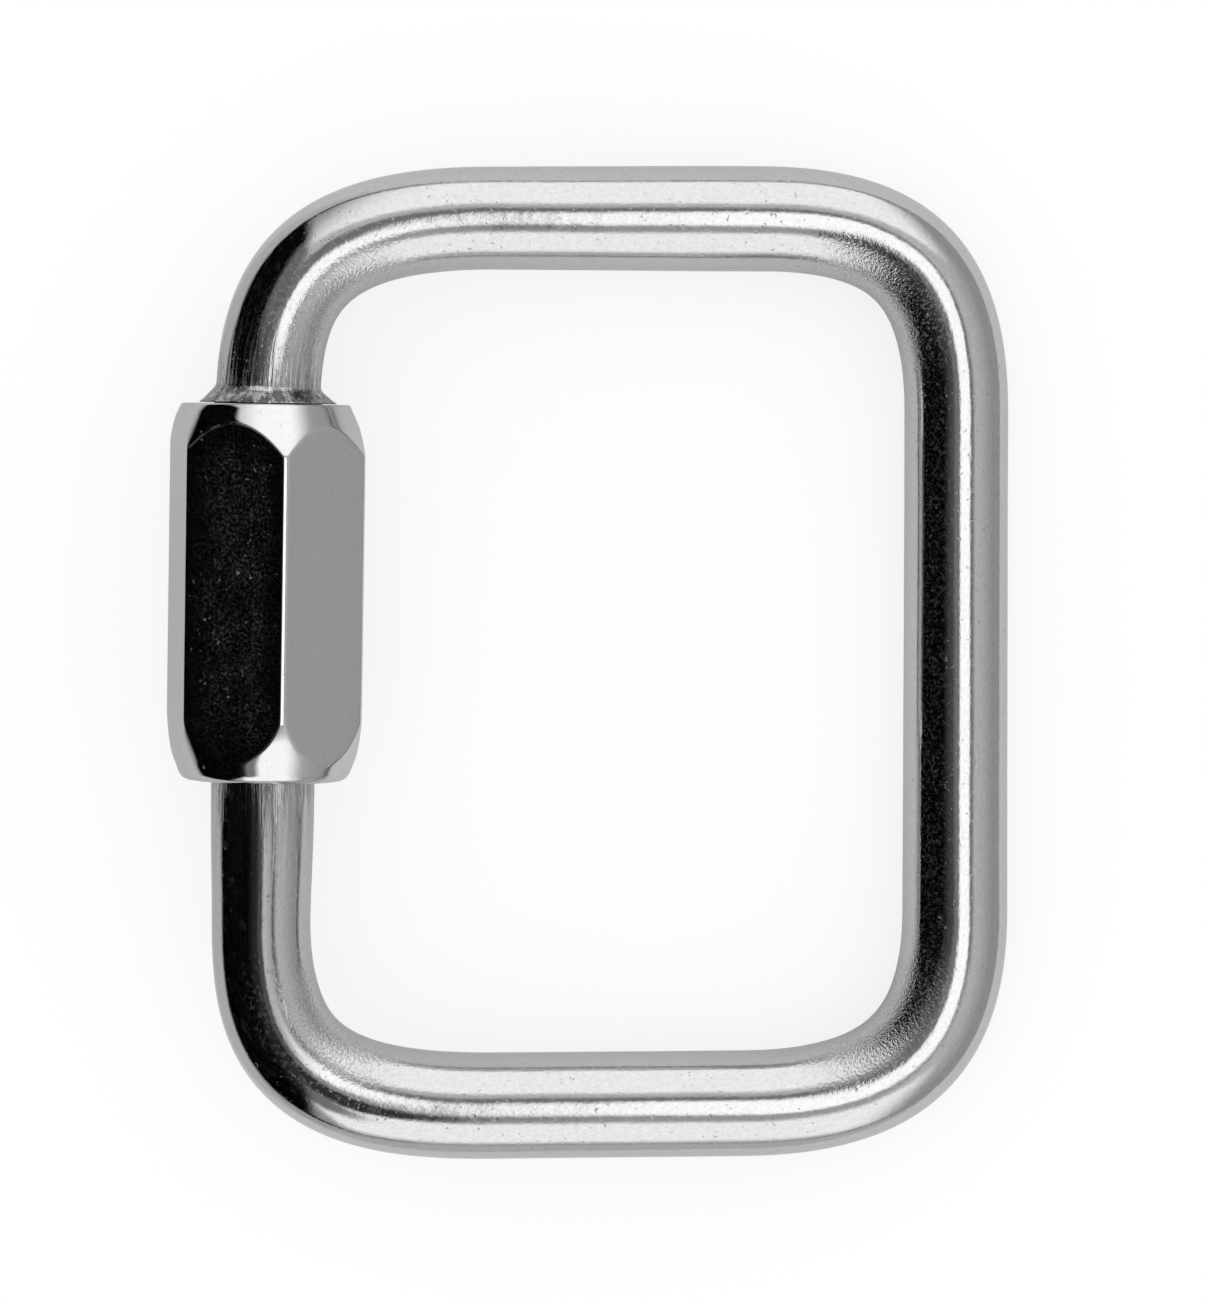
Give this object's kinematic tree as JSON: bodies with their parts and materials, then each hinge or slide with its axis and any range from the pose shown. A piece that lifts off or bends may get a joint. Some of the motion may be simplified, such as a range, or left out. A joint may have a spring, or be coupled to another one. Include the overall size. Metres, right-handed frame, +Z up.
{
  "type": "quick link",
  "caption": "Square quick link: a round stainless bar bent to a rounded rectangle, its gate closed by a hexagonal screw sleeve.",
  "frame": {"origin": "centre of the bounding box with the sleeve closed and the link lying flat on a table", "axes": "+Z up as the link lies on a table; +Y along the legs towards the collar end; +X from the gate leg with the sleeve to the closed leg, which lies lower because the sleeve is thicker than the bar, so that the bar's plane is tipped 4 degrees about Y"},
  "size_m": [0.0652, 0.0764, 0.0156],
  "materials": {
    "polished_bar": "tumble-polished stainless steel, near mirror with fine pitting and die marks",
    "polished_sleeve": "polished stainless hexagon, near mirror flats with fine specks and turned chamfers"
  },
  "bodies": {
    "link": {"link_body": "polished_bar"},
    "sleeve_slider": {"sleeve_lead_ring": "polished_sleeve"},
    "sleeve": {"sleeve": "polished_sleeve"}
  },
  "joints": [
    {"name": "sleeve_travel", "type": "slide", "parent": "link", "child": "sleeve_slider", "axis": [0.0165, 0.9999, -0.0012], "range_m": [-0.015, 0]},
    {"name": "sleeve_turn", "type": "hinge", "parent": "sleeve_slider", "child": "sleeve", "pos_m": [-0.02479, 0, 0.00001], "axis": [0.0165, 0.9999, -0.0012], "range_deg": [-3610, 0]}
  ],
  "couplings": [
    {"joint": "sleeve_turn", "follows": "sleeve_travel", "rad_per_m": 4188.8}
  ]
}
